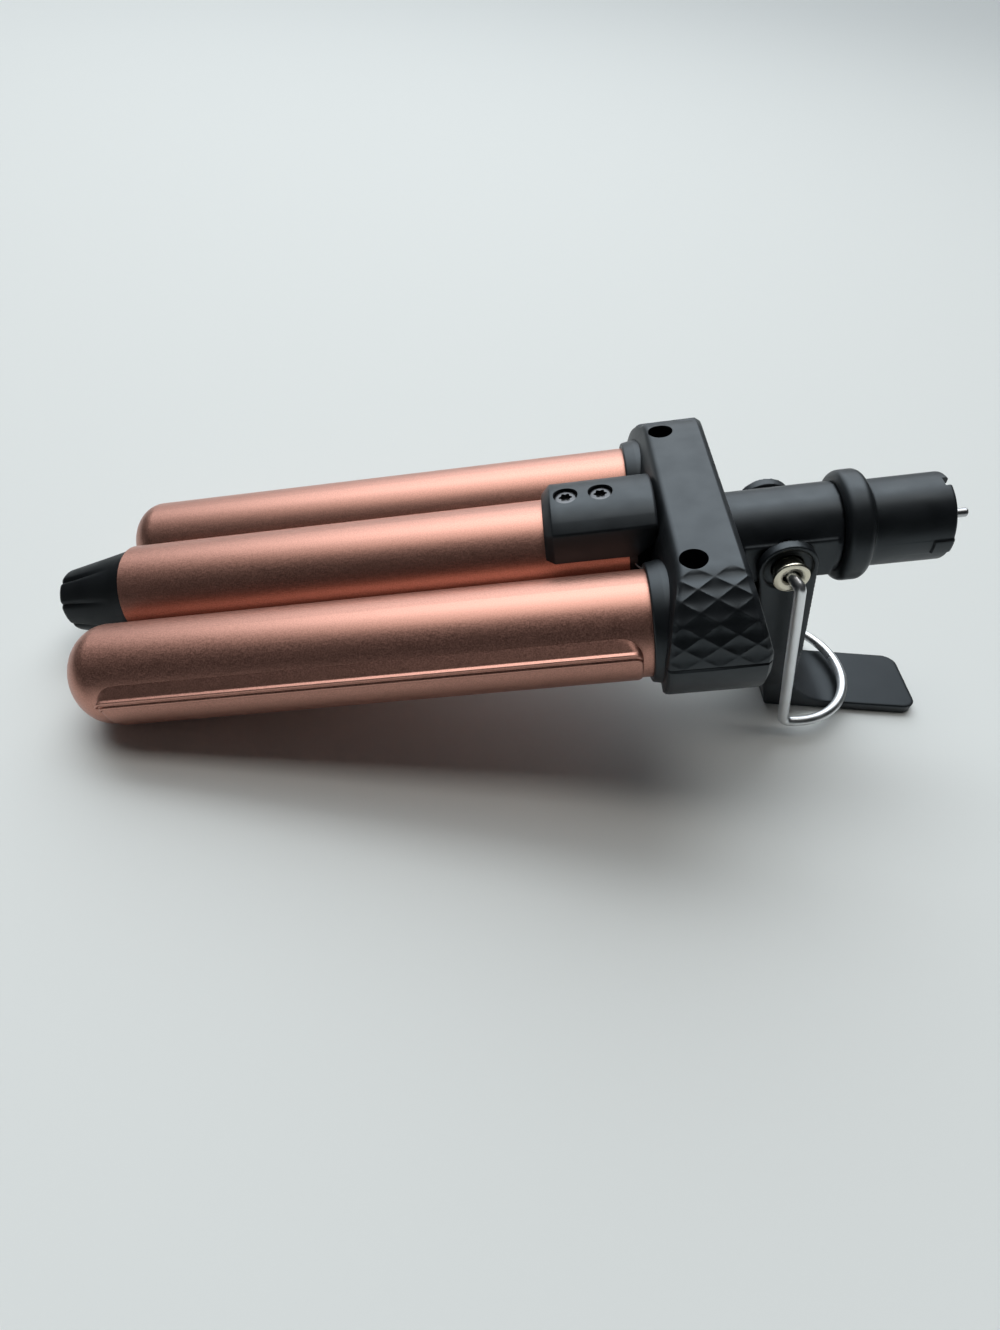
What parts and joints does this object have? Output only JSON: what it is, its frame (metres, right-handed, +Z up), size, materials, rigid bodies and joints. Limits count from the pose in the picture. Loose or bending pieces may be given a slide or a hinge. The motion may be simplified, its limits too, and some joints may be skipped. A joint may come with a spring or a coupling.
{
  "type": "hair waver head",
  "caption": "Press-lever waver head: fixed outer barrels on a yoke, a centre barrel on a sprung lever, a folding wire rest and a round plug-in connector.",
  "frame": {"origin": "bottom centre of the bounding box, on the table that the noses and the paddle stand on", "axes": "+X towards the connector, +Y to the right seen from the connector, +Z up"},
  "size_m": [0.2412, 0.0852, 0.0723],
  "materials": {
    "charcoal_plastic": "soft-touch matte",
    "black_plastic": "matte",
    "rose_gold": "satin rose gold with a fine sparkle",
    "bare_aluminium": "as extruded",
    "heater_ceramic": "sintered",
    "steel": "plain",
    "bright_steel": "bright drawn wire",
    "nickel": "nickel plated"
  },
  "bodies": {
    "head": {"yoke_upper_shell": "charcoal_plastic", "lower_cover_left": "charcoal_plastic", "lower_cover_right": "charcoal_plastic", "neck_tube": "charcoal_plastic", "connector_body": "charcoal_plastic", "left_collar": "charcoal_plastic", "right_collar": "charcoal_plastic", "contact_carrier": "black_plastic", "left_barrel": "rose_gold", "right_barrel": "rose_gold", "left_cover_plate": "rose_gold", "right_cover_plate": "rose_gold", "left_heat_spreader": "bare_aluminium", "right_heat_spreader": "bare_aluminium", "left_heater_element": "heater_ceramic", "right_heater_element": "heater_ceramic", "chassis_plate": "steel", "yoke_screws": "steel", "earth_tabs": "bright_steel", "lever_springs": "steel", "pivot_eyelets": "nickel", "contact_pins": "nickel"},
    "lever": {"lever": "charcoal_plastic", "lever_arm": "charcoal_plastic", "clamp_block": "charcoal_plastic", "clamp_screws": "steel", "center_barrel": "rose_gold", "center_barrel_root": "charcoal_plastic", "cool_tip": "black_plastic", "center_heat_spreader": "bare_aluminium", "center_heater_element": "heater_ceramic"},
    "stand": {"wire_stand": "bright_steel"}
  },
  "joints": [
    {"name": "lever_press", "type": "hinge", "parent": "head", "child": "lever", "pos_m": [0.06032, 0, 0.05297], "axis": [0, -1, 0], "range_deg": [0, 18], "stiffness_Nm_per_rad": 0.6, "springref_deg": -33.4, "deforming": ["lever_springs"]},
    {"name": "stand_swing", "type": "hinge", "parent": "lever", "child": "stand", "pos_m": [0.06032, 0, 0.05297], "axis": [0, -1, 0], "range_deg": [0, 40]}
  ]
}
